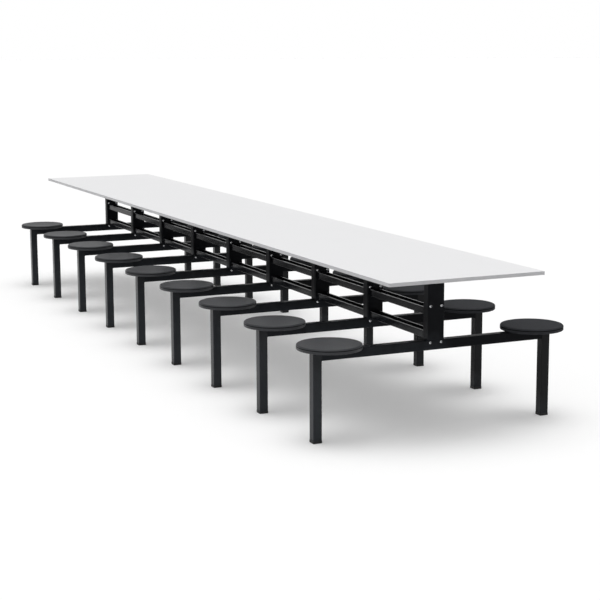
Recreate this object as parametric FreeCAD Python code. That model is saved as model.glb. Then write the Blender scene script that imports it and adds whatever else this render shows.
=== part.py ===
import FreeCAD, Part
import math
import os

# A canteen table with a round fixed seat at each end of nine bolted steel frames.
# Millimetres. The origin is on the floor under the middle of the top, X runs along the table, Z is up.
# The front of the table is on the -Y side.

# Layout
frame_count = 9
seat_pitch = 600.0
table_height = 743.0
leg_reach = 592.0
seat_setback = 67.0

# Tabletop
top_end_overhang = 300.0
top_width = 778.0
core_thickness = 15.0
laminate_thickness = 0.8
backer_thickness = 0.5
band_thickness = 2.0
band_edge_radius = 0.8

# Steel tubes
leg_size = 42.0
leg_wall = 2.0
arm_width = 40.0
arm_height = 45.0
arm_wall = 2.0
arm_top = 416.0
post_width = 84.0
post_wall = 2.0
tube_corner_radius = 2.5
least_corner_radius = 0.5

# Foot caps
cap_height = 12.0
cap_overhang = 1.0
cap_edge_radius = 2.0
cap_plug_height = 20.0
cap_plug_clearance = 0.3

# Lipped channel rails and their end plates
rail_width = 60.0
rail_height = 32.0
rail_lip = 10.0
rail_wall = 2.0
rail_bend_radius = 3.5
lower_rail_gap = 2.5
rail_rise = 109.0
plate_width = 80.0
plate_thickness = 6.0
plate_corner_radius = 4.0

# Frame bolts and flange nuts
bolt_spread = 56.0
lower_bolt_drop = 11.0
upper_bolt_lift = 12.5
bolt_edge_margin = 10.0
bolt_diameter = 8.0
bolt_hole_clearance = 0.5
bolt_head_diameter = 14.0
bolt_head_height = 4.4
bolt_head_flat_diameter = 6.6
bolt_socket_width = 5.0
bolt_socket_depth = 2.6
bolt_tail = 3.0
nut_width = 13.0
nut_height = 6.5
nut_flange_diameter = 17.8
nut_flange_thickness = 1.5
nut_bore_clearance = 0.15

# Cross recess in the screw heads
recess_span = 5.0
recess_width = 1.4
recess_depth = 1.6

# Bearers under the top
bearer_length = 600.0
bearer_flange = 20.0
bearer_wall = 2.0
bearer_post_clearance = 0.3
bearer_screw_inset = 40.0
bearer_screw_gap = 60.0
top_screw_diameter = 5.0
top_screw_head_diameter = 10.0
top_screw_head_height = 3.2
top_screw_bite = 12.0
top_screw_clearance = 0.2

# Seats, their plates and screws
seat_diameter = 295.0
seat_depth = 23.0
seat_rim_gap = 3.5
seat_skin = 5.0
seat_skirt = 5.0
seat_top_radius = 7.0
seat_line_width = 3.0
seat_line_depth = 2.5
seat_bottom_radius = 3.0
seat_dish = 1.5
seat_rim_flat = 6.0
seat_hub_diameter = 48.0
seat_rib_count = 8
seat_rib_width = 3.0
seat_rib_clearance = 1.0
seat_boss_diameter = 16.0
seat_plate_width = 100.0
seat_plate_length = 110.0
seat_plate_thickness = 4.0
seat_plate_corner_radius = 8.0
seat_screw_inset = 12.0
seat_screw_diameter = 6.0
seat_screw_clearance = 0.2
seat_screw_head_diameter = 11.0
seat_screw_head_height = 3.5
seat_screw_bite = 10.0

# Derived places
frame_xs = [seat_pitch * (i - (frame_count - 1) / 2) for i in range(frame_count)]
bay_starts = frame_xs[:-1]
top_length = seat_pitch * (frame_count - 1) + 2 * top_end_overhang
top_thickness = backer_thickness + core_thickness + laminate_thickness
top_underside = table_height - top_thickness
core_base = top_underside + backer_thickness
laminate_base = core_base + core_thickness
core_length = top_length - 2 * band_thickness
core_width = top_width - 2 * band_thickness
post_head = top_underside - bearer_wall
arm_length = 2 * (leg_reach - leg_size / 2)
# The post is as deep as the arm is wide, so that the rails' plates lie flat on both
post_depth = arm_width
lower_rail_base = arm_top + lower_rail_gap
upper_rail_base = lower_rail_base + rail_rise
lower_bolt_height = arm_top - lower_bolt_drop
upper_bolt_height = upper_rail_base + rail_height + upper_bolt_lift
seat_reach = leg_reach - seat_setback
seat_base = arm_top + seat_rim_gap
seat_plate_top = arm_top + seat_plate_thickness
bolt_ys = (-bolt_spread / 2, bolt_spread / 2)
bolt_zs = (lower_bolt_height, upper_bolt_height)
bolt_hole_radius = bolt_diameter / 2 + bolt_hole_clearance
seat_screw_places = [
    (x, y)
    for x in (seat_screw_inset - seat_plate_width / 2, seat_plate_width / 2 - seat_screw_inset)
    for y in (seat_screw_inset - seat_plate_length / 2, seat_plate_length / 2 - seat_screw_inset)
]
bearer_screw_ys = [
    side * (bearer_length / 2 - bearer_screw_inset - step * bearer_screw_gap)
    for side in (-1, 1)
    for step in (0, 1)
]
sides = {"front": -1, "rear": 1}

X_AXIS = FreeCAD.Vector(1, 0, 0)
Z_AXIS = FreeCAD.Vector(0, 0, 1)


def vec(x, y, z):
    return FreeCAD.Vector(x, y, z)


def inner_radius(outer_radius, wall):
    """The radius inside a rounded corner, which a thick wall makes nearly sharp."""
    return max(outer_radius - wall, least_corner_radius)


def moved(shape, x, y, z):
    copy = shape.copy()
    copy.translate(vec(x, y, z))
    return copy


def rounded_bar(width, depth, radius, height):
    """An upright bar with round corners, standing on the XY plane and centred on the origin."""
    bar = Part.makeBox(width, depth, height, vec(-width / 2, -depth / 2, 0))
    corners = [edge for edge in bar.Edges if edge.BoundBox.ZLength > height / 2]
    return bar.makeFillet(radius, corners)


def tube(width, depth, wall, length):
    """An upright rectangular tube with rolled corners, standing on the XY plane."""
    outside = rounded_bar(width, depth, tube_corner_radius, length)
    inside_radius = inner_radius(tube_corner_radius, wall)
    inside = rounded_bar(width - 2 * wall, depth - 2 * wall, inside_radius, length)
    return outside.cut(inside)


def along_y(shape):
    """Lays an upright piece down along +Y: its height runs along Y and its depth stands up."""
    laid = shape.copy()
    laid.rotate(vec(0, 0, 0), X_AXIS, -90)
    return laid


def along_x(shape):
    """Lays an upright piece down along +X: its width runs along Y and its depth stands up."""
    laid = shape.copy()
    laid.rotate(vec(0, 0, 0), vec(1, 1, 1), 120)
    return laid


def hexagon_bar(width, height):
    """An upright hexagonal bar, measured across its flats."""
    corner = width / math.sqrt(3)
    angles = [math.radians(60 * k) for k in range(7)]
    points = [vec(corner * math.cos(angle), corner * math.sin(angle), 0) for angle in angles]
    return Part.Face(Part.makePolygon(points)).extrude(vec(0, 0, height))


def write(name, solids):
    """Writes one node: a single piece, or a group of separate like pieces."""
    shape = solids[0] if len(solids) == 1 else Part.makeCompound(solids)
    shape.exportStep(os.path.join("parts", name + ".step"))


# Tabletop: a board with a laminate face, a balancing sheet below and strips of band round its edge
def top_sheet(thickness, base):
    return Part.makeBox(core_length, core_width, thickness, vec(-core_length / 2, -core_width / 2, base))


def top_screw_holes():
    radius = top_screw_diameter / 2 + top_screw_clearance
    depth = top_screw_bite + backer_thickness
    places = [vec(x, y, top_underside) for x in frame_xs for y in bearer_screw_ys]
    return Part.makeCompound([Part.makeCylinder(radius, depth, place) for place in places])


def band_strip(length):
    """A strip along X whose long outer edges, on the +Y side, are eased."""
    strip = Part.makeBox(length, band_thickness, top_thickness, vec(-length / 2, 0, 0))
    outer = [edge for edge in strip.Edges if edge.BoundBox.YMin > band_thickness / 2]
    long_edges = [edge for edge in outer if edge.BoundBox.XLength > length / 2]
    return strip.makeFillet(band_edge_radius, long_edges)


def edge_band():
    """Two long strips the whole length of the top, and two short ones between them."""
    strips = []
    for length, distance, turn in (
        (top_length, core_width / 2, 0),
        (core_width, core_length / 2, 90),
        (top_length, core_width / 2, 180),
        (core_width, core_length / 2, 270),
    ):
        strip = moved(band_strip(length), 0, distance, top_underside)
        strip.rotate(vec(0, 0, 0), Z_AXIS, turn)
        strips.append(strip)
    return strips


def tabletop():
    holes = top_screw_holes()
    write("tabletop_core", [top_sheet(core_thickness, core_base).cut(holes)])
    write("tabletop_backer", [top_sheet(backer_thickness, top_underside).cut(holes)])
    write("tabletop_laminate", [top_sheet(laminate_thickness, laminate_base)])
    write("tabletop_edge_band", edge_band())


# Frames: two legs, an arm between them and a post on the arm
def bolt_holes(x):
    reach = arm_width + post_depth
    return [
        Part.makeCylinder(bolt_hole_radius, 2 * reach, vec(x - reach, y, z), X_AXIS)
        for y in bolt_ys
        for z in bolt_zs
    ]


def frame(number, x):
    holes = Part.makeCompound(bolt_holes(x))
    leg = tube(leg_size, leg_size, leg_wall, arm_top - cap_height)
    write(f"leg_pair_{number}", [moved(leg, x, side * leg_reach, cap_height) for side in sides.values()])
    arm = along_y(tube(arm_width, arm_height, arm_wall, arm_length))
    arm = moved(arm, x, -arm_length / 2, arm_top - arm_height / 2)
    write(f"arm_{number}", [arm.cut(holes)])
    post = moved(tube(post_depth, post_width, post_wall, post_head - arm_top), x, 0, arm_top)
    write(f"post_{number}", [post.cut(holes)])


def foot_caps():
    tread_size = leg_size + 2 * cap_overhang
    tread = rounded_bar(tread_size, tread_size, tube_corner_radius + cap_overhang, cap_height)
    lower_edges = [edge for edge in tread.Edges if edge.BoundBox.ZMax < cap_height / 2]
    tread = tread.makeFillet(cap_edge_radius, lower_edges)
    plug_size = leg_size - 2 * leg_wall - 2 * cap_plug_clearance
    plug_radius = inner_radius(tube_corner_radius, leg_wall)
    plug = moved(rounded_bar(plug_size, plug_size, plug_radius, cap_plug_height), 0, 0, cap_height)
    cap = tread.fuse(plug)
    write("foot_caps", [moved(cap, x, side * leg_reach, 0) for x in frame_xs for side in sides.values()])


# Rails: lipped channels, open upwards, with a bolted plate on each end
def rail():
    """A channel along +X, its web on the XY plane and its two lips turned in at the top."""
    length = seat_pitch - post_depth - 2 * plate_thickness
    outside = rounded_bar(rail_width, rail_height, rail_bend_radius, length)
    inside_radius = inner_radius(rail_bend_radius, rail_wall)
    inside = rounded_bar(rail_width - 2 * rail_wall, rail_height - 2 * rail_wall, inside_radius, length)
    mouth = rail_width - 2 * rail_lip
    slot = moved(Part.makeBox(mouth, rail_height, length), -mouth / 2, 0, 0)
    channel = along_x(outside.cut(inside).cut(slot))
    return moved(channel, post_depth / 2 + plate_thickness, 0, rail_height / 2)


def rails():
    channel = rail()
    for name, base in (("lower_rails", lower_rail_base), ("upper_rails", upper_rail_base)):
        write(name, [moved(channel, x, 0, base) for x in bay_starts])


def end_plates():
    base = lower_bolt_height - bolt_edge_margin
    height = upper_bolt_height + bolt_edge_margin - base
    plate = along_x(rounded_bar(plate_width, height, plate_corner_radius, plate_thickness))
    near_face = post_depth / 2
    far_face = seat_pitch - post_depth / 2 - plate_thickness
    plates = []
    for x in bay_starts:
        for offset in (near_face, far_face):
            placed = moved(plate, x + offset, 0, base + height / 2)
            holes = Part.makeCompound(bolt_holes(x + offset))
            plates.append(placed.cut(holes))
    write("rail_end_plates", plates)


# Bolts run along X with the head towards +X and the nut towards -X
def clamped_faces(index):
    """The faces that a frame's bolts pull together: a plate lies wherever a rail meets the post."""
    x = frame_xs[index]
    nut_face = x - post_depth / 2 - (plate_thickness if index > 0 else 0)
    head_face = x + post_depth / 2 + (plate_thickness if index < frame_count - 1 else 0)
    return nut_face, head_face


def bolt(length):
    """A button-headed bolt with a hexagon socket, its shank from the origin to -X."""
    rise = bolt_head_height
    rim = bolt_head_diameter / 2
    flat = bolt_head_flat_diameter / 2
    dome_centre = (rise**2 + flat**2 - rim**2) / (2 * rise)
    dome_radius = math.hypot(dome_centre, rim)
    half_way = (math.atan2(rim, -dome_centre) + math.atan2(flat, rise - dome_centre)) / 2
    dome_middle = vec(dome_centre + dome_radius * math.cos(half_way), 0, dome_radius * math.sin(half_way))
    profile = Part.Wire([
        Part.LineSegment(vec(0, 0, 0), vec(0, 0, rim)).toShape(),
        Part.Arc(vec(0, 0, rim), dome_middle, vec(rise, 0, flat)).toShape(),
        Part.LineSegment(vec(rise, 0, flat), vec(rise, 0, 0)).toShape(),
        Part.LineSegment(vec(rise, 0, 0), vec(0, 0, 0)).toShape(),
    ])
    head = Part.Face(profile).revolve(vec(0, 0, 0), X_AXIS, 360)
    socket = along_x(hexagon_bar(bolt_socket_width, bolt_socket_depth))
    head = head.cut(moved(socket, rise - bolt_socket_depth, 0, 0))
    shank = Part.makeCylinder(bolt_diameter / 2, length, vec(-length, 0, 0), X_AXIS)
    return head.fuse(shank).removeSplitter()


def nut():
    """A flange nut whose flange lies on the YZ plane, with its body towards -X."""
    body = along_x(hexagon_bar(nut_width, nut_height))
    body = moved(body, -nut_height - nut_flange_thickness, 0, 0)
    foot = vec(-nut_flange_thickness, 0, 0)
    flange = Part.makeCylinder(nut_flange_diameter / 2, nut_flange_thickness, foot, X_AXIS)
    height = nut_height + nut_flange_thickness
    bore = Part.makeCylinder(bolt_diameter / 2 + nut_bore_clearance, height, vec(-height, 0, 0), X_AXIS)
    return body.fuse(flange).cut(bore)


def frame_bolts():
    bolts = []
    nuts = []
    flange_nut = nut()
    nut_stack = nut_flange_thickness + nut_height + bolt_tail
    for index in range(frame_count):
        nut_face, head_face = clamped_faces(index)
        through_bolt = bolt(head_face - nut_face + nut_stack)
        for y in bolt_ys:
            for z in bolt_zs:
                bolts.append(moved(through_bolt, head_face, y, z))
                nuts.append(moved(flange_nut, nut_face, y, z))
    write("frame_bolts", bolts)
    write("frame_nuts", nuts)


# Bearers: folded channels, open downwards, that cap the posts and carry the top
def pan_screw(diameter, head_diameter, head_height, length):
    """An upright screw: its head under the XY plane, with a cross recess, and its shank above."""
    head = Part.makeCylinder(head_diameter / 2, head_height, vec(0, 0, -head_height))
    rim = [edge for edge in head.Edges if edge.BoundBox.ZMax < -head_height / 2]
    head = head.makeFillet(head_height / 2, rim)
    for x, y in ((recess_span, recess_width), (recess_width, recess_span)):
        head = head.cut(Part.makeBox(x, y, recess_depth, vec(-x / 2, -y / 2, -head_height)))
    return head.fuse(Part.makeCylinder(diameter / 2, length)).removeSplitter()


def bearers():
    inner = post_depth + 2 * bearer_post_clearance
    outer = inner + 2 * bearer_wall
    half = bearer_length / 2
    body = Part.makeBox(outer, bearer_length, bearer_flange, vec(-outer / 2, -half, -bearer_flange))
    folds = [e for e in body.Edges if e.BoundBox.ZMin > -bearer_wall and e.BoundBox.YLength > bearer_wall]
    body = body.makeFillet(bearer_wall, folds)
    drop = bearer_flange - bearer_wall
    trough = Part.makeBox(inner, bearer_length, drop, vec(-inner / 2, -half, -bearer_flange))
    hole_radius = top_screw_diameter / 2 + top_screw_clearance
    places = [vec(0, y, -bearer_flange) for y in bearer_screw_ys]
    holes = [Part.makeCylinder(hole_radius, bearer_flange, place) for place in places]
    bearer = body.cut(trough).cut(Part.makeCompound(holes))
    write("tabletop_bearers", [moved(bearer, x, 0, top_underside) for x in frame_xs])
    length = bearer_wall + backer_thickness + top_screw_bite
    screw = pan_screw(top_screw_diameter, top_screw_head_diameter, top_screw_head_height, length)
    screws = [moved(screw, x, y, top_underside - bearer_wall) for x in frame_xs for y in bearer_screw_ys]
    write("tabletop_screws", screws)


# Seats: moulded round shells with a shadow line round the rim and ribs below,
# each screwed to a plate on the arm
def seat_shell():
    """The shell's section turned about Z, with its rim on the XY plane."""
    rim = seat_diameter / 2
    crown = rim - seat_top_radius
    dish_edge = crown - seat_rim_flat
    inner = rim - seat_skirt
    ceiling = seat_depth - seat_skin
    dish_radius = (dish_edge**2 + seat_dish**2) / (2 * seat_dish)
    half_angle = math.asin(dish_edge / dish_radius) / 2
    dish_centre = seat_depth - seat_dish + dish_radius
    dish_rise = dish_centre - dish_radius * math.cos(half_angle)
    dish_half_way = vec(dish_radius * math.sin(half_angle), 0, dish_rise)
    bend = math.sqrt(0.5)
    top_round = vec(crown + seat_top_radius * bend, 0, seat_depth - seat_top_radius * (1 - bend))
    low_round = vec(rim - seat_bottom_radius * (1 - bend), 0, seat_bottom_radius * (1 - bend))
    line_top = seat_depth - seat_top_radius
    line_base = line_top - seat_line_width
    line_floor = rim - seat_line_depth
    points = {
        "dish_middle": vec(0, 0, seat_depth - seat_dish),
        "dish_edge": vec(dish_edge, 0, seat_depth),
        "crown": vec(crown, 0, seat_depth),
        "shoulder": vec(rim, 0, line_top),
        "line_top": vec(line_floor, 0, line_top),
        "line_base": vec(line_floor, 0, line_base),
        "girth": vec(rim, 0, line_base),
        "waist": vec(rim, 0, seat_bottom_radius),
        "foot": vec(rim - seat_bottom_radius, 0, 0),
        "inner_foot": vec(inner, 0, 0),
        "inner_head": vec(inner, 0, ceiling),
        "ceiling_middle": vec(0, 0, ceiling),
    }
    p = points
    section = Part.Wire([
        Part.Arc(p["dish_middle"], dish_half_way, p["dish_edge"]).toShape(),
        Part.LineSegment(p["dish_edge"], p["crown"]).toShape(),
        Part.Arc(p["crown"], top_round, p["shoulder"]).toShape(),
        Part.LineSegment(p["shoulder"], p["line_top"]).toShape(),
        Part.LineSegment(p["line_top"], p["line_base"]).toShape(),
        Part.LineSegment(p["line_base"], p["girth"]).toShape(),
        Part.LineSegment(p["girth"], p["waist"]).toShape(),
        Part.Arc(p["waist"], low_round, p["foot"]).toShape(),
        Part.LineSegment(p["foot"], p["inner_foot"]).toShape(),
        Part.LineSegment(p["inner_foot"], p["inner_head"]).toShape(),
        Part.LineSegment(p["inner_head"], p["ceiling_middle"]).toShape(),
        Part.LineSegment(p["ceiling_middle"], p["dish_middle"]).toShape(),
    ])
    return Part.Face(section).revolve(vec(0, 0, 0), Z_AXIS, 360)


def seat():
    """The shell with its hub, radial ribs and four screw bosses."""
    ceiling = seat_depth - seat_skin
    seating = seat_plate_top - seat_base
    rib_base = seating + seat_rib_clearance
    rib_height = ceiling - rib_base
    hub_radius = seat_hub_diameter / 2
    hub = Part.makeCylinder(hub_radius, rib_height, vec(0, 0, rib_base))
    hub = hub.cut(Part.makeCylinder(hub_radius - seat_rib_width, rib_height, vec(0, 0, rib_base)))
    stiffeners = [hub]
    rib_start = hub_radius - seat_rib_width / 2
    rib_end = seat_diameter / 2 - seat_skirt / 2
    for k in range(seat_rib_count):
        corner = vec(rib_start, -seat_rib_width / 2, rib_base)
        rib = Part.makeBox(rib_end - rib_start, seat_rib_width, rib_height, corner)
        rib.rotate(vec(0, 0, 0), Z_AXIS, k * 360 / seat_rib_count)
        stiffeners.append(rib)
    for x, y in seat_screw_places:
        stiffeners.append(Part.makeCylinder(seat_boss_diameter / 2, ceiling - seating, vec(x, y, seating)))
    bore = seat_screw_diameter / 2 + seat_screw_clearance
    holes = [Part.makeCylinder(bore, seat_screw_bite, vec(x, y, seating)) for x, y in seat_screw_places]
    return seat_shell().multiFuse(stiffeners).removeSplitter().cut(Part.makeCompound(holes))


def seats():
    moulding = seat()
    for side_name, side in sides.items():
        for number, x in enumerate(frame_xs, 1):
            write(f"seat_{side_name}_{number}", [moved(moulding, x, side * seat_reach, seat_base)])


def seat_fixings():
    plate = rounded_bar(seat_plate_width, seat_plate_length, seat_plate_corner_radius, seat_plate_thickness)
    bore = seat_screw_diameter / 2 + seat_screw_clearance
    holes = [Part.makeCylinder(bore, seat_plate_thickness, vec(x, y, 0)) for x, y in seat_screw_places]
    plate = plate.cut(Part.makeCompound(holes))
    length = seat_plate_thickness + seat_screw_bite
    screw = pan_screw(seat_screw_diameter, seat_screw_head_diameter, seat_screw_head_height, length)
    plates = []
    screws = []
    for x in frame_xs:
        for side in sides.values():
            plates.append(moved(plate, x, side * seat_reach, arm_top))
            for dx, dy in seat_screw_places:
                screws.append(moved(screw, x + dx, side * seat_reach + dy, arm_top))
    write("seat_plates", plates)
    write("seat_screws", screws)


os.makedirs("parts", exist_ok=True)
tabletop()
for number, x in enumerate(frame_xs, 1):
    frame(number, x)
foot_caps()
rails()
end_plates()
frame_bolts()
bearers()
seats()
seat_fixings()
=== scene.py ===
import math

import bmesh
import bpy
from mathutils import Matrix, Vector


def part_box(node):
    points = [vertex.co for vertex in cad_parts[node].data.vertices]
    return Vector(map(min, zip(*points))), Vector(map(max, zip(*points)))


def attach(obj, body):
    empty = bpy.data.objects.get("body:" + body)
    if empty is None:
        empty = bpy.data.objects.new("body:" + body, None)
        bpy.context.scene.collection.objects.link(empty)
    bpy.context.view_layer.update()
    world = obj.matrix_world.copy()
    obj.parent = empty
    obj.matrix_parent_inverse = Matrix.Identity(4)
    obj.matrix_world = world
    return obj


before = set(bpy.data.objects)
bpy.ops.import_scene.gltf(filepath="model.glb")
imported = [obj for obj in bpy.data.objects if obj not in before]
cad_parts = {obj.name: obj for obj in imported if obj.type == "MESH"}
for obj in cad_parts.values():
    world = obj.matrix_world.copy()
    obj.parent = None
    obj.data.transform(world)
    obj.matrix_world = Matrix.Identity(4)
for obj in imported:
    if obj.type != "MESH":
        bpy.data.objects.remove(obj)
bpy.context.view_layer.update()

bl_info = {
    "name": "Canteen table looks",
    "version": (1, 0, 0),
    "blender": (4, 5, 0),
    "location": "3D View > Sidebar > Canteen table",
    "description": "Finishes, weld beads and a studio for a canteen table with eighteen fixed seats",
    "category": "Object",
}

MM = 0.001
FRAME_COUNT = 9
WHITE = (1.0, 1.0, 1.0, 1.0)

# Painted floor light on the coat: paler up to a height, ragged and fading above it, and lower towards
# the rear as painted shade, where each metre counts as this many metres of height
FLOOR_LIGHT_HEIGHT = 60 * MM
FLOOR_LIGHT_RAGGEDNESS = 120 * MM
FLOOR_LIGHT_FADE_POWER = 4.0
REAR_SHADE = 0.6

# How far a face must point up, as the Z of its normal, for the painted highlight to start and to cover it
HIGHLIGHT_START = 0.6
HIGHLIGHT_FULL = 0.95

# Frame bolts, and the soft edge of the painted shade in their sockets
BOLT_HEAD_RADIUS = 7 * MM
BOLT_SOCKET_RADIUS = 2.7 * MM
SOCKET_SHADE_EDGE = 0.4 * MM

# Weld beads: how far the crest stands out, as a share of the toe, and the sizes of wide and narrow ripples
SEAT_BEAD_LENGTH = 96 * MM
BEAD_CREST = 0.62
WIDE_RIPPLE = 1.12
NARROW_RIPPLE = 0.9

# Studio, in metres, with the sensor in millimetres
FLOOR_REACH = 150
BACKDROP_DISTANCE = 120
BACKDROP_HEIGHT = 24
BACKDROP_SIDES = 96
BROAD_LIGHT = 2.0
SENSOR_WIDTH = 36
VIEW_LIMIT = 500


def linear(colour):
    """The linear red, green, blue and alpha of an sRGB hex colour."""
    channels = [int(colour[i:i + 2], 16) / 255 for i in (1, 3, 5)]
    return tuple(c / 12.92 if c <= 0.04045 else ((c + 0.055) / 1.055) ** 2.4 for c in channels) + (1.0,)


def colour_property(name, description, colour):
    return bpy.props.FloatVectorProperty(
        name=name, description=description, subtype="COLOR", size=4, min=0, max=1, default=linear(colour)
    )


def length_property(name, description, millimetres):
    return bpy.props.FloatProperty(
        name=name, description=description, subtype="DISTANCE", unit="LENGTH", min=0,
        default=millimetres * MM,
    )


def angle_property(name, description, degrees):
    return bpy.props.FloatProperty(
        name=name, description=description, subtype="ANGLE", unit="ROTATION", default=math.radians(degrees)
    )


def strength_property(name, description, strength):
    return bpy.props.FloatProperty(name=name, description=description, min=0, default=strength)


class CanteenTopSettings(bpy.types.PropertyGroup):
    """Finish of the tabletop."""

    laminate: colour_property("Laminate", "Pale grey face of the tabletop", "#efeff0")
    edge: colour_property("Edge band", "Grey strip round the tabletop", "#d0d0d2")
    backer: colour_property("Backing sheet", "Underside of the tabletop", "#f0f0ef")
    board: colour_property("Board", "Chipboard inside the tabletop", "#a98f6b")
    texture: length_property("Laminate texture", "Size of the laminate's fine pimples as drawn", 4)


class CanteenSteelSettings(bpy.types.PropertyGroup):
    """Finish of the welded steel."""

    coat: colour_property("Powder coat", "Black coat of the steel, up under the top", "#121316")
    # Painted light: the paler coat near the floor, up to the height below, stands for light bounced up
    # from the floor.
    floor_light_and_bloom: colour_property("Scuffed coat", "The coat at the floor, paler with dust and scuffs", "#313438")
    floor_light_top: length_property(
        "Clean height", "Height from which the coat is free of dust and scuffs", 520
    )
    # Painted highlight: the pale colour laid on the rails' lips that face up.
    painted_light: colour_property("Dust", "Dust on the rails' lips", "#939496")
    peel: length_property("Orange peel", "Size of the coat's ripples as drawn", 5)
    zinc: colour_property("Zinc plate", "Colour of the bolts and screws", "#dcdee0")
    # Painted shade: the dark colour laid in the frame bolts' sockets.
    socket_shade: colour_property("Grease", "Dirt in the sockets of the frame bolts", "#0e0e0f")


class CanteenWeldSettings(bpy.types.PropertyGroup):
    """Shape of the weld beads."""

    leg: length_property("Bead leg", "How far a bead spreads on each of the two faces it joins", 4)
    thin_leg: length_property("Thin bead leg", "The same for the beads along the bearers' edges", 2.2)
    sink: length_property("Sink", "How far a bead's root lies inside the steel", 0.3)
    inset: length_property("Inset", "How far a bead stops short of the joint's end", 4)
    ripples: bpy.props.IntProperty(
        name="Ripples", description="Swells along one bead, fewer and longer than real ones", min=2,
        default=8,
    )


class CanteenSeatSettings(bpy.types.PropertyGroup):
    """Finish of the moulded seats and foot caps."""

    # The two rows' blacks are painted light and shade: the front row paler, the rear row darker in the
    # tabletop's shade.
    plastic: colour_property("Rear seat plastic", "Black of the moulded seats in the rear row", "#36373a")
    front_lit_black: colour_property("Front seat plastic", "Greyer black of the seats in the front row", "#3f4043")
    # Painted shade: the dark colour laid in the groove round a seat's rim.
    groove_shade: colour_property("Line dirt", "Dirt in the line round a seat's rim", "#060606")
    line_drop: length_property("Line drop", "Drop from the seat's top to the middle of that line", 8.5)
    line_width: length_property("Line width", "Height of that line", 3.2)
    cap: colour_property("Cap plastic", "Black of the foot caps", "#151617")
    grain: length_property("Mould grain", "Size of the seats' moulded grain as drawn", 3)


class CanteenStudioSettings(bpy.types.PropertyGroup):
    """Camera, floor and light."""

    camera_place: bpy.props.FloatVectorProperty(
        name="Camera place", description="Where the camera stands", subtype="TRANSLATION", unit="LENGTH",
        default=(8.25396, -3.33821, 1.76834),
    )
    camera_turn: angle_property("Camera turn", "Turn of the camera about the upright axis", 65.463)
    camera_tilt: angle_property("Camera tilt", "Tilt of the camera up from straight down", 80.113)
    camera_roll: angle_property("Camera roll", "Roll of the camera about its own view", -0.2304)
    lens: bpy.props.FloatProperty(
        name="Lens", description="Focal length on a 36 mm sensor", unit="CAMERA", min=1, default=90.474
    )
    floor: colour_property("Floor", "Pale floor under the table", "#e7e7e7")
    glow: strength_property("Floor glow", "Light of the floor that no shadow takes away", 0.2)
    horizon: strength_property("Horizon light", "Light of the dome at the horizon", 0.03)
    ambient: strength_property("Dome light", "Light that grows from the horizon up", 0.8)
    overhead: strength_property("Overhead light", "Light of the lamp at the zenith", 4.8)
    narrowness: strength_property("Narrowness", "How closely the lamp's light gathers", 16)
    side: strength_property("Side light", "Light from the front of the table", 0.5)


def add_node(tree, kind, inputs, **settings):
    """Adds a node. Each input is a plain value, or the socket that feeds it."""
    node = tree.nodes.new(kind)
    for name, value in settings.items():
        setattr(node, name, value)
    for socket, value in inputs.items():
        if isinstance(value, bpy.types.NodeSocket):
            tree.links.new(value, node.inputs[socket])
        else:
            node.inputs[socket].default_value = value
    return node


def calculate(tree, operation, *values):
    """One step of arithmetic on sockets and numbers."""
    return add_node(tree, "ShaderNodeMath", dict(enumerate(values)), operation=operation).outputs["Value"]


def stretch(tree, value, low, high, start=0.0, end=1.0):
    """Moves a value evenly from low to high as it goes from start to end."""
    span = {"From Min": start, "From Max": end, "To Min": low, "To Max": high}
    return add_node(tree, "ShaderNodeMapRange", {"Value": value, **span}).outputs["Result"]


def mix_colours(tree, factor, first, second):
    """The first colour where the factor is 0 and the second where it is 1."""
    # The node's colour sockets are the seventh and eighth, and its colour output is the third.
    mixed = add_node(tree, "ShaderNodeMix", {"Factor": factor, 6: first, 7: second}, data_type="RGBA")
    return mixed.outputs[2]


def shaded(colour, share):
    """The colour with its light brought to that share."""
    return [min(1, channel * share) for channel in colour[:3]] + [1]


def clouds(tree, place, size, detail, distortion=0.0):
    """Soft noise with patches of about that size."""
    look = {"Scale": 1 / size, "Detail": detail, "Distortion": distortion}
    return add_node(tree, "ShaderNodeTexNoise", {"Vector": place, **look}).outputs["Fac"]


def relief(tree, height, strength, depth):
    """The normal of a face with a fine pattern pressed that deep into it."""
    pressed = {"Height": height, "Strength": strength, "Distance": depth}
    return add_node(tree, "ShaderNodeBump", pressed).outputs["Normal"]


def split_axes(tree, vector):
    return add_node(tree, "ShaderNodeSeparateXYZ", {"Vector": vector}).outputs


def new_finish(name):
    """A bare material, its node tree and the coordinates of the object it is on."""
    material = bpy.data.materials.new(name)
    material.use_nodes = True
    tree = material.node_tree
    tree.nodes.clear()
    place = add_node(tree, "ShaderNodeTexCoord", {}).outputs["Object"]
    return material, tree, place


def close_finish(tree, shader_inputs):
    shader = add_node(tree, "ShaderNodeBsdfPrincipled", shader_inputs)
    add_node(tree, "ShaderNodeOutputMaterial", {"Surface": shader.outputs["BSDF"]})


def reopen_finish(material):
    """A finished material's node tree, its coordinates and the socket of its colour."""
    nodes = {node.type: node for node in material.node_tree.nodes}
    colour = nodes["BSDF_PRINCIPLED"].inputs["Base Color"]
    return material.node_tree, nodes["TEX_COORD"].outputs["Object"], colour


def cover_finish(tree, colour, mask, cover):
    """Lays a second colour over a finish where the mask is 1."""
    bare = colour.links[0].from_socket
    tree.links.new(mix_colours(tree, mask, bare, cover), colour)


# High-pressure laminate, pressed against a matt plate: an even pale grey with a faint cloudiness
# and pimples too small to cast light of their own, so it never mirrors the room.
# The pimples are about half a millimetre across and are drawn coarser so that they show.
def pressed_laminate(settings):
    material, tree, place = new_finish("high_pressure_laminate")
    cloudiness = clouds(tree, place, 180 * MM, 3.0)
    pimples = clouds(tree, place, settings.texture, 2.0)
    close_finish(tree, {
        "Base Color": mix_colours(tree, cloudiness, shaded(settings.laminate, 0.985), settings.laminate),
        "Roughness": stretch(tree, pimples, 0.52, 0.64),
        "Normal": relief(tree, pimples, 0.05, 0.1 * MM),
        "IOR": 1.5,
        "Specular IOR Level": 0.3,
    })
    return material


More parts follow.
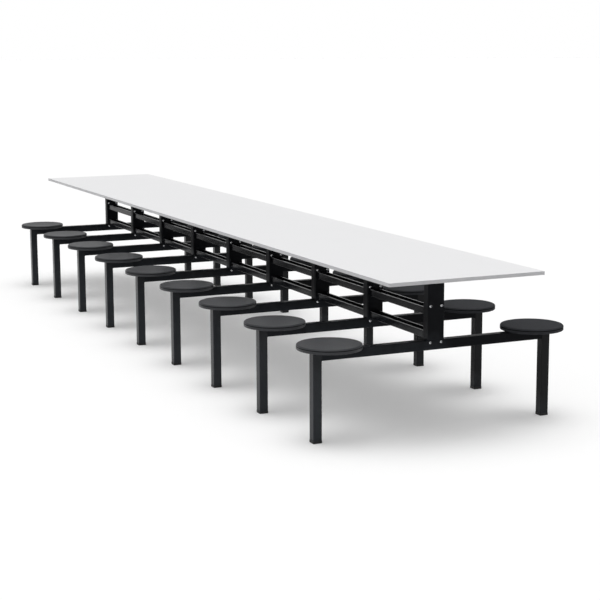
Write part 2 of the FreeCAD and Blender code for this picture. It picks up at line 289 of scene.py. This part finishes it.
# ABS edge band, extruded: a plain grey with faint drawn lines along the strip and a satin face.
def extruded_band(settings):
    material, tree, place = new_finish("abs_edge_band")
    along = add_node(tree, "ShaderNodeMapping", {"Vector": place, "Scale": (0.02, 0.02, 1.0)})
    lines = clouds(tree, along.outputs["Vector"], 1.5 * MM, 2.0)
    close_finish(tree, {
        "Base Color": mix_colours(tree, lines, shaded(settings.edge, 0.94), settings.edge),
        "Roughness": stretch(tree, lines, 0.38, 0.5),
        "Normal": relief(tree, lines, 0.1, 0.1 * MM),
        "IOR": 1.53,
        "Specular IOR Level": 0.3,
    })
    return material


# Chipboard, pressed from flakes of wood: a mosaic of tan flakes with dull resin between them.
def pressed_flakes(settings):
    material, tree, place = new_finish("chipboard")
    flakes = add_node(
        tree, "ShaderNodeTexVoronoi", {"Vector": place, "Scale": 1 / (3 * MM), "Randomness": 1.0}
    ).outputs
    tone = add_node(tree, "ShaderNodeRGBToBW", {"Color": flakes["Color"]}).outputs["Val"]
    close_finish(tree, {
        "Base Color": mix_colours(tree, tone, shaded(settings.board, 0.7), settings.board),
        "Roughness": 0.85,
        "Normal": relief(tree, flakes["Distance"], 0.3, 0.3 * MM),
    })
    return material


# Phenolic backing sheet, resin-soaked kraft paper with a pale face: matt, with a fibrous mottle.
def backing_paper(settings):
    material, tree, place = new_finish("phenolic_backing_sheet")
    mottle = clouds(tree, place, 25 * MM, 6.0)
    fibres = clouds(tree, place, 4 * MM, 4.0, distortion=1.5)
    close_finish(tree, {
        "Base Color": mix_colours(tree, mottle, shaded(settings.backer, 0.86), settings.backer),
        "Roughness": 0.68,
        "Normal": relief(tree, fibres, 0.12, 0.2 * MM),
        "Specular IOR Level": 0.3,
    })
    return material


# Powder-coated steel, sprayed and baked: near black, with a low even sheen broken by orange peel.
# It is painted paler towards the floor, as painted light from the floor, and less so towards the rear row,
# as painted shade.
# The peel is about two millimetres across and is drawn coarser so that it shows.
def powder_coat(settings, name, sheen, roughest, smoothest):
    material, tree, place = new_finish(name)
    peel = clouds(tree, place, settings.peel, 1.0)
    haze = clouds(tree, place, 60 * MM, 3.0)
    axes = split_axes(tree, place)
    # Painted floor light: paler near the floor, and less so towards the rear as painted shade.
    ragged = calculate(tree, "MULTIPLY_ADD", haze, FLOOR_LIGHT_RAGGEDNESS, axes["Z"])
    rearward = calculate(tree, "MAXIMUM", axes["Y"], 0.0)
    rear_shaded_height = calculate(tree, "MULTIPLY_ADD", rearward, REAR_SHADE, ragged)
    lifted = stretch(tree, rear_shaded_height, 0.0, 1.0, start=FLOOR_LIGHT_HEIGHT, end=settings.floor_light_top)
    plain_coat_share = calculate(tree, "POWER", lifted, FLOOR_LIGHT_FADE_POWER)
    close_finish(tree, {
        "Base Color": mix_colours(tree, plain_coat_share, settings.floor_light_and_bloom, settings.coat),
        "Roughness": stretch(tree, haze, smoothest, roughest),
        "Normal": relief(tree, peel, 0.08, 0.2 * MM),
        "IOR": 1.5,
        "Specular IOR Level": sheen,
    })
    return material


# The coat of the arms, posts, plates and bearers: dull, so that it stays nearly black.
def dull_coat(settings):
    return powder_coat(settings, "dull_powder_coat", sheen=0.045, roughest=0.34, smoothest=0.24)


# The coat of the legs, rubbed glossier by feet, so that their sides pick up the floor.
def rubbed_coat(settings):
    return powder_coat(settings, "rubbed_powder_coat", sheen=0.13, roughest=0.18, smoothest=0.1)


# The coat of the rails, satin, with a painted highlight on the lips that face up,
# so that these show as thin pale lines.
def highlit_coat(settings):
    material = powder_coat(settings, "highlit_powder_coat", sheen=0.09, roughest=0.26, smoothest=0.16)
    tree, _, colour = reopen_finish(material)
    # Painted highlight on the faces that point up.
    facing = add_node(tree, "ShaderNodeNewGeometry", {}).outputs["Normal"]
    lying = stretch(tree, split_axes(tree, facing)["Z"], 0.0, 1.0, start=HIGHLIGHT_START, end=HIGHLIGHT_FULL)
    cover_finish(tree, colour, lying, settings.painted_light)
    return material


# Polypropylene, moulded against an etched tool: soft black with a fine leathery grain and a low sheen.
# The line round the rim is left rough by the tool and is painted dark as painted shade in its groove,
# so it stays darker than the rest.
# The grain is under a millimetre across and is drawn coarser so that it shows.
def moulded_seat(settings, name, black, sheen, roughest, smoothest):
    material, tree, place = new_finish(name)
    grain = add_node(
        tree, "ShaderNodeTexVoronoi", {"Vector": place, "Scale": 1 / settings.grain, "Randomness": 1.0},
        feature="SMOOTH_F1",
    ).outputs["Distance"]
    flow = clouds(tree, place, 90 * MM, 2.0)
    streaks = mix_colours(tree, flow, shaded(black, 0.85), black)
    line_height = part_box("seat_front_1")[1][2] - settings.line_drop
    line = calculate(tree, "COMPARE", split_axes(tree, place)["Z"], line_height, settings.line_width / 2)
    polished = stretch(tree, grain, smoothest, roughest)
    close_finish(tree, {
        "Base Color": mix_colours(tree, line, streaks, settings.groove_shade),
        "Roughness": calculate(tree, "MAXIMUM", polished, line),
        "Normal": relief(tree, grain, 0.1, 0.15 * MM),
        "IOR": 1.49,
        "Specular IOR Level": sheen,
    })
    return material


# The front row, its black painted paler as painted light for the light that falls on it, and polished by
# use.
def front_seat(settings):
    return moulded_seat(
        settings, "front_lit_polypropylene", settings.front_lit_black, sheen=0.17, roughest=0.43, smoothest=0.33
    )


# The rear row, its black painted darker as painted shade from the tabletop, and still dull from the mould.
def rear_seat(settings):
    return moulded_seat(
        settings, "rear_shaded_polypropylene", settings.plastic, sheen=0.05, roughest=0.68, smoothest=0.58
    )


# Low-density polyethylene, moulded: black with a waxy surface that scuffs to a paler bloom.
def waxy_cap(settings):
    material, tree, place = new_finish("moulded_polyethylene")
    floor_light_and_bloom = clouds(tree, place, 12 * MM, 4.0)
    close_finish(tree, {
        "Base Color": mix_colours(tree, floor_light_and_bloom, settings.cap, shaded(settings.cap, 1.6)),
        "Roughness": stretch(tree, floor_light_and_bloom, 0.42, 0.62),
        "IOR": 1.51,
        "Specular IOR Level": 0.3,
    })
    return material


# Zinc-plated steel, bright with a clear passivate: a cool silver with faint clouds from the plating bath.
def zinc_plate(settings, name):
    material, tree, place = new_finish(name)
    bath = clouds(tree, place, 5 * MM, 3.0)
    close_finish(tree, {
        "Base Color": mix_colours(tree, bath, shaded(settings.zinc, 0.85), settings.zinc),
        "Roughness": stretch(tree, bath, 0.1, 0.18),
        "Metallic": 1.0,
    })
    return material


def plain_zinc(settings):
    return zinc_plate(settings, "zinc_plated_steel")


# The same zinc on the frame bolts, with painted shade in the sockets,
# so that each head is a bright ring round a dark eye.
def socket_shaded_zinc(settings):
    material = zinc_plate(settings, "zinc_plated_bolt")
    tree, place, colour = reopen_finish(material)
    low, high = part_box("frame_bolts")
    axes = split_axes(tree, place)
    away = {}
    for axis, k in (("Y", 1), ("Z", 2)):
        middle = (low[k] + high[k]) / 2
        spread = (high[k] - low[k]) / 2 - BOLT_HEAD_RADIUS
        shifted = calculate(tree, "SUBTRACT", axes[axis], middle)
        folded = calculate(tree, "ABSOLUTE", shifted)
        away[axis] = calculate(tree, "SUBTRACT", folded, spread)
    across = add_node(tree, "ShaderNodeCombineXYZ", away).outputs["Vector"]
    radius = add_node(tree, "ShaderNodeVectorMath", {0: across}, operation="LENGTH").outputs["Value"]
    lit_radius = BOLT_SOCKET_RADIUS + SOCKET_SHADE_EDGE
    socket_shade_mask = stretch(tree, radius, 1.0, 0.0, start=BOLT_SOCKET_RADIUS, end=lit_radius)
    cover_finish(tree, colour, socket_shade_mask, settings.socket_shade)
    return material


def link_mesh(context, name, shape, material):
    """Turns a bmesh into a linked object with one finish."""
    mesh = bpy.data.meshes.new(name)
    shape.to_mesh(mesh)
    shape.free()
    mesh.materials.append(material)
    piece = bpy.data.objects.new(name, mesh)
    context.scene.collection.objects.link(piece)
    return piece


def finish_nodes(material, names):
    """Puts a finish on CAD nodes."""
    for name in names:
        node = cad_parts[name]
        node.data.materials.clear()
        node.data.materials.append(material)


def numbered(stem):
    """The names of the nodes that repeat on every frame."""
    return [f"{stem}_{number}" for number in range(1, FRAME_COUNT + 1)]


class CANTEEN_OT_tabletop(bpy.types.Operator):
    """Finishes the tabletop's laminate, edge band, board and backing sheet"""

    bl_idname = "canteen.tabletop"
    bl_label = "Finish tabletop"

    def execute(self, context):
        settings = context.scene.canteen_top
        finish_nodes(pressed_laminate(settings), ["tabletop_laminate"])
        finish_nodes(extruded_band(settings), ["tabletop_edge_band"])
        finish_nodes(pressed_flakes(settings), ["tabletop_core"])
        finish_nodes(backing_paper(settings), ["tabletop_backer"])
        return {"FINISHED"}


class CANTEEN_OT_steelwork(bpy.types.Operator):
    """Finishes the frames, rails, plates and bearers"""

    bl_idname = "canteen.steelwork"
    bl_label = "Finish steelwork"

    def execute(self, context):
        settings = context.scene.canteen_steel
        plates = ["rail_end_plates", "tabletop_bearers", "seat_plates"]
        finish_nodes(dull_coat(settings), numbered("arm") + numbered("post") + plates)
        finish_nodes(rubbed_coat(settings), numbered("leg_pair"))
        finish_nodes(highlit_coat(settings), ["upper_rails", "lower_rails"])
        return {"FINISHED"}


def lay_bead(shape, joint, leg, settings):
    """Lays one fillet weld: a small section in the corner, drawn along the joint in swelling steps."""
    start, end, first_face, second_face = (Vector(part) for part in joint)
    toe = leg + settings.sink
    root = start - settings.sink * (first_face + second_face)
    crest = BEAD_CREST * toe * (first_face + second_face)
    section = (root, root + toe * first_face, root + crest, root + toe * second_face)
    face = shape.faces.new([shape.verts.new(point) for point in section])
    step = (end - start) / settings.ripples
    size = 1.0
    for number in range(1, settings.ripples + 1):
        grown = bmesh.ops.extrude_face_region(shape, geom=[face])["geom"]
        face = next(part for part in grown if isinstance(part, bmesh.types.BMFace))
        bmesh.ops.translate(shape, verts=face.verts[:], vec=step)
        swell = WIDE_RIPPLE if number % 2 else NARROW_RIPPLE
        bmesh.ops.scale(
            shape, verts=face.verts[:], vec=(swell / size,) * 3,
            space=Matrix.Translation(-root - number * step),
        )
        size = swell


def leg_joints(inset):
    """Under each end of an arm, on the leg's inner face."""
    for name in numbered("arm"):
        low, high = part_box(name)
        for y, inward in ((low[1], 1), (high[1], -1)):
            start = (low[0] + inset, y, low[2])
            end = (high[0] - inset, y, low[2])
            yield start, end, (0, inward, 0), (0, 0, -1)


def post_joints(inset):
    """At the front and back of each post's foot, on the arm."""
    for name in numbered("post"):
        low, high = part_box(name)
        for y, outward in ((low[1], -1), (high[1], 1)):
            start = (low[0] + inset, y, low[2])
            end = (high[0] - inset, y, low[2])
            yield start, end, (0, outward, 0), (0, 0, 1)


def rail_joints(inset):
    """Under each rail's end and on its two sides, against the end plate."""
    posts = [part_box(name) for name in numbered("post")]
    for rails in ("lower_rails", "upper_rails"):
        low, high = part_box(rails)
        plate = low[0] - posts[0][1][0]
        for near, far in zip(posts, posts[1:]):
            for x, along in ((near[1][0] + plate, 1), (far[0][0] - plate, -1)):
                start = (x, low[1] + inset, low[2])
                yield start, (x, high[1] - inset, low[2]), (along, 0, 0), (0, 0, -1)
                for y, outward in ((low[1], -1), (high[1], 1)):
                    start = (x, y, low[2] + inset)
                    yield start, (x, y, high[2] - inset), (along, 0, 0), (0, outward, 0)


def seat_plate_joints(inset):
    """Along both sides of each arm, under the seat's plate."""
    for name in numbered("arm"):
        low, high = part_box(name)
        for sign in (-1, 1):
            outer = sign * (high[1] - inset)
            inner = sign * (high[1] - SEAT_BEAD_LENGTH)
            for x, outward in ((low[0], -1), (high[0], 1)):
                yield (x, inner, high[2]), (x, outer, high[2]), (outward, 0, 0), (0, 0, -1)


def bearer_joints(inset):
    """Along both sides of each post's head, under the bearer's edges."""
    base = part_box("tabletop_bearers")[0][2]
    for name in numbered("post"):
        low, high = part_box(name)
        for x, outward in ((low[0], -1), (high[0], 1)):
            start = (x, low[1] + inset, base)
            yield start, (x, high[1] - inset, base), (outward, 0, 0), (0, 0, -1)


class CANTEEN_OT_welds(bpy.types.Operator):
    """Lays the weld beads of the frames, rails, seat plates and bearers"""

    bl_idname = "canteen.welds"
    bl_label = "Lay weld beads"

    def execute(self, context):
        settings = context.scene.canteen_weld
        coat = bpy.data.materials.get("dull_powder_coat") or dull_coat(context.scene.canteen_steel)
        for name, joints, leg in (
            ("leg_weld_beads", leg_joints, settings.leg),
            ("post_weld_beads", post_joints, settings.leg),
            ("rail_weld_beads", rail_joints, settings.leg),
            ("seat_plate_weld_beads", seat_plate_joints, settings.leg),
            ("bearer_weld_beads", bearer_joints, settings.thin_leg),
        ):
            shape = bmesh.new()
            for joint in joints(settings.inset):
                lay_bead(shape, joint, leg, settings)
            bmesh.ops.recalc_face_normals(shape, faces=shape.faces[:])
            for face in shape.faces:
                face.smooth = True
            beads = link_mesh(context, name, shape, coat)
            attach(beads, "root")
        return {"FINISHED"}


class CANTEEN_OT_fixings(bpy.types.Operator):
    """Finishes the bolts, nuts and screws"""

    bl_idname = "canteen.fixings"
    bl_label = "Finish fixings"

    def execute(self, context):
        settings = context.scene.canteen_steel
        finish_nodes(socket_shaded_zinc(settings), ["frame_bolts"])
        finish_nodes(plain_zinc(settings), ["frame_nuts", "tabletop_screws", "seat_screws"])
        return {"FINISHED"}


class CANTEEN_OT_mouldings(bpy.types.Operator):
    """Finishes the seats and foot caps"""

    bl_idname = "canteen.mouldings"
    bl_label = "Finish mouldings"

    def execute(self, context):
        settings = context.scene.canteen_seat
        finish_nodes(front_seat(settings), numbered("seat_front"))
        finish_nodes(rear_seat(settings), numbered("seat_rear"))
        finish_nodes(waxy_cap(settings), ["foot_caps"])
        return {"FINISHED"}


def seen_rays(tree):
    """1 for rays that the eye follows: straight, mirrored and through glass."""
    path = add_node(tree, "ShaderNodeLightPath", {}).outputs
    mirrored = calculate(tree, "MAXIMUM", path["Is Camera Ray"], path["Is Glossy Ray"])
    return calculate(tree, "MAXIMUM", mirrored, path["Is Transmission Ray"])


class CANTEEN_OT_studio(bpy.types.Operator):
    """Builds the floor, light and camera"""

    bl_idname = "canteen.studio"
    bl_label = "Build studio"

    def show(self, context, name, shape, material, unseen, seen):
        """Links one piece of the studio, with one surface for the eye and one for other light."""
        tree = material.node_tree
        surface = add_node(tree, "ShaderNodeMixShader", {"Fac": seen_rays(tree), 1: unseen, 2: seen})
        add_node(tree, "ShaderNodeOutputMaterial", {"Surface": surface.outputs["Shader"]})
        material.cycles.emission_sampling = "NONE"
        link_mesh(context, name, shape, material)

    def floor(self, context, settings):
        """A wide floor whose glow keeps the shadows pale."""
        shape = bmesh.new()
        bmesh.ops.create_grid(shape, x_segments=1, y_segments=1, size=FLOOR_REACH)
        material, tree, _ = new_finish("painted_studio_floor")
        paint = add_node(tree, "ShaderNodeBsdfDiffuse", {"Color": settings.floor}).outputs["BSDF"]
        glow = add_node(tree, "ShaderNodeEmission", {"Color": WHITE, "Strength": settings.glow})
        lifted = add_node(tree, "ShaderNodeAddShader", {0: paint, 1: glow.outputs["Emission"]})
        self.show(context, "studio_floor", shape, material, paint, lifted.outputs["Shader"])

    def backdrop(self, context):
        """A low white wall far off, so that the floor meets white and not the dim edge of the dome."""
        shape = bmesh.new()
        bmesh.ops.create_circle(shape, segments=BACKDROP_SIDES, radius=BACKDROP_DISTANCE)
        wall = bmesh.ops.extrude_edge_only(shape, edges=shape.edges[:])["geom"]
        upper = [part for part in wall if isinstance(part, bmesh.types.BMVert)]
        bmesh.ops.translate(shape, verts=upper, vec=(0, 0, BACKDROP_HEIGHT))
        material, tree, _ = new_finish("white_backdrop")
        clear = add_node(tree, "ShaderNodeBsdfTransparent", {"Color": WHITE}).outputs["BSDF"]
        white = add_node(tree, "ShaderNodeEmission", {"Color": WHITE, "Strength": 1.0}).outputs["Emission"]
        self.show(context, "studio_backdrop", shape, material, clear, white)

    def light(self, context, settings):
        """A dome that is dim at the horizon, with a soft lamp overhead and a lighter side at the front."""
        world = bpy.data.worlds.new("studio_dome")
        context.scene.world = world
        world.use_nodes = True
        tree = world.node_tree
        tree.nodes.clear()
        direction = add_node(tree, "ShaderNodeTexCoord", {}).outputs["Generated"]
        axes = split_axes(tree, direction)
        level = settings.horizon
        for way, sign, narrowness, strength in (
            ("Z", 1.0, BROAD_LIGHT, settings.ambient),
            ("Z", 1.0, settings.narrowness, settings.overhead),
            ("Y", -1.0, BROAD_LIGHT, settings.side),
        ):
            faced = calculate(tree, "MULTIPLY", axes[way], sign)
            lit = calculate(tree, "MAXIMUM", faced, 0.0)
            gathered = calculate(tree, "POWER", lit, narrowness)
            level = calculate(tree, "MULTIPLY_ADD", gathered, strength, level)
        dome = add_node(tree, "ShaderNodeBackground", {"Color": WHITE, "Strength": level})
        add_node(tree, "ShaderNodeOutputWorld", {"Surface": dome.outputs["Background"]})

    def camera(self, context, settings):
        data = bpy.data.cameras.new("camera")
        data.sensor_width = SENSOR_WIDTH
        data.lens = settings.lens
        data.clip_end = VIEW_LIMIT
        camera = bpy.data.objects.new("camera", data)
        context.scene.collection.objects.link(camera)
        camera.matrix_world = (
            Matrix.Translation(settings.camera_place)
            @ Matrix.Rotation(settings.camera_turn, 4, "Z")
            @ Matrix.Rotation(settings.camera_tilt, 4, "X")
            @ Matrix.Rotation(settings.camera_roll, 4, "Z")
        )
        context.scene.camera = camera

    def execute(self, context):
        settings = context.scene.canteen_studio
        self.floor(context, settings)
        self.backdrop(context)
        self.light(context, settings)
        self.camera(context, settings)
        context.scene.view_settings.view_transform = "Standard"
        return {"FINISHED"}


OPERATORS = (
    CANTEEN_OT_tabletop,
    CANTEEN_OT_steelwork,
    CANTEEN_OT_welds,
    CANTEEN_OT_fixings,
    CANTEEN_OT_mouldings,
    CANTEEN_OT_studio,
)

GROUPS = {
    "canteen_top": CanteenTopSettings,
    "canteen_steel": CanteenSteelSettings,
    "canteen_weld": CanteenWeldSettings,
    "canteen_seat": CanteenSeatSettings,
    "canteen_studio": CanteenStudioSettings,
}


class VIEW3D_PT_canteen_table(bpy.types.Panel):
    """Lists the settings and the steps of the canteen table"""

    bl_label = "Canteen table"
    bl_space_type = "VIEW_3D"
    bl_region_type = "UI"
    bl_category = "Canteen table"

    def draw(self, context):
        for group, kind in GROUPS.items():
            box = self.layout.box()
            settings = getattr(context.scene, group)
            for name in kind.__annotations__:
                box.prop(settings, name)
        for operator in OPERATORS:
            self.layout.operator(operator.bl_idname)


CLASSES = (*GROUPS.values(), *OPERATORS, VIEW3D_PT_canteen_table)


def register():
    for kind in CLASSES:
        bpy.utils.register_class(kind)
    for group, kind in GROUPS.items():
        setattr(bpy.types.Scene, group, bpy.props.PointerProperty(type=kind))


def unregister():
    for group in GROUPS:
        delattr(bpy.types.Scene, group)
    for kind in reversed(CLASSES):
        bpy.utils.unregister_class(kind)


def main():
    register()
    bpy.ops.canteen.tabletop()
    bpy.ops.canteen.steelwork()
    bpy.ops.canteen.welds()
    bpy.ops.canteen.fixings()
    bpy.ops.canteen.mouldings()
    bpy.ops.canteen.studio()


if __name__ == "__main__":
    main()
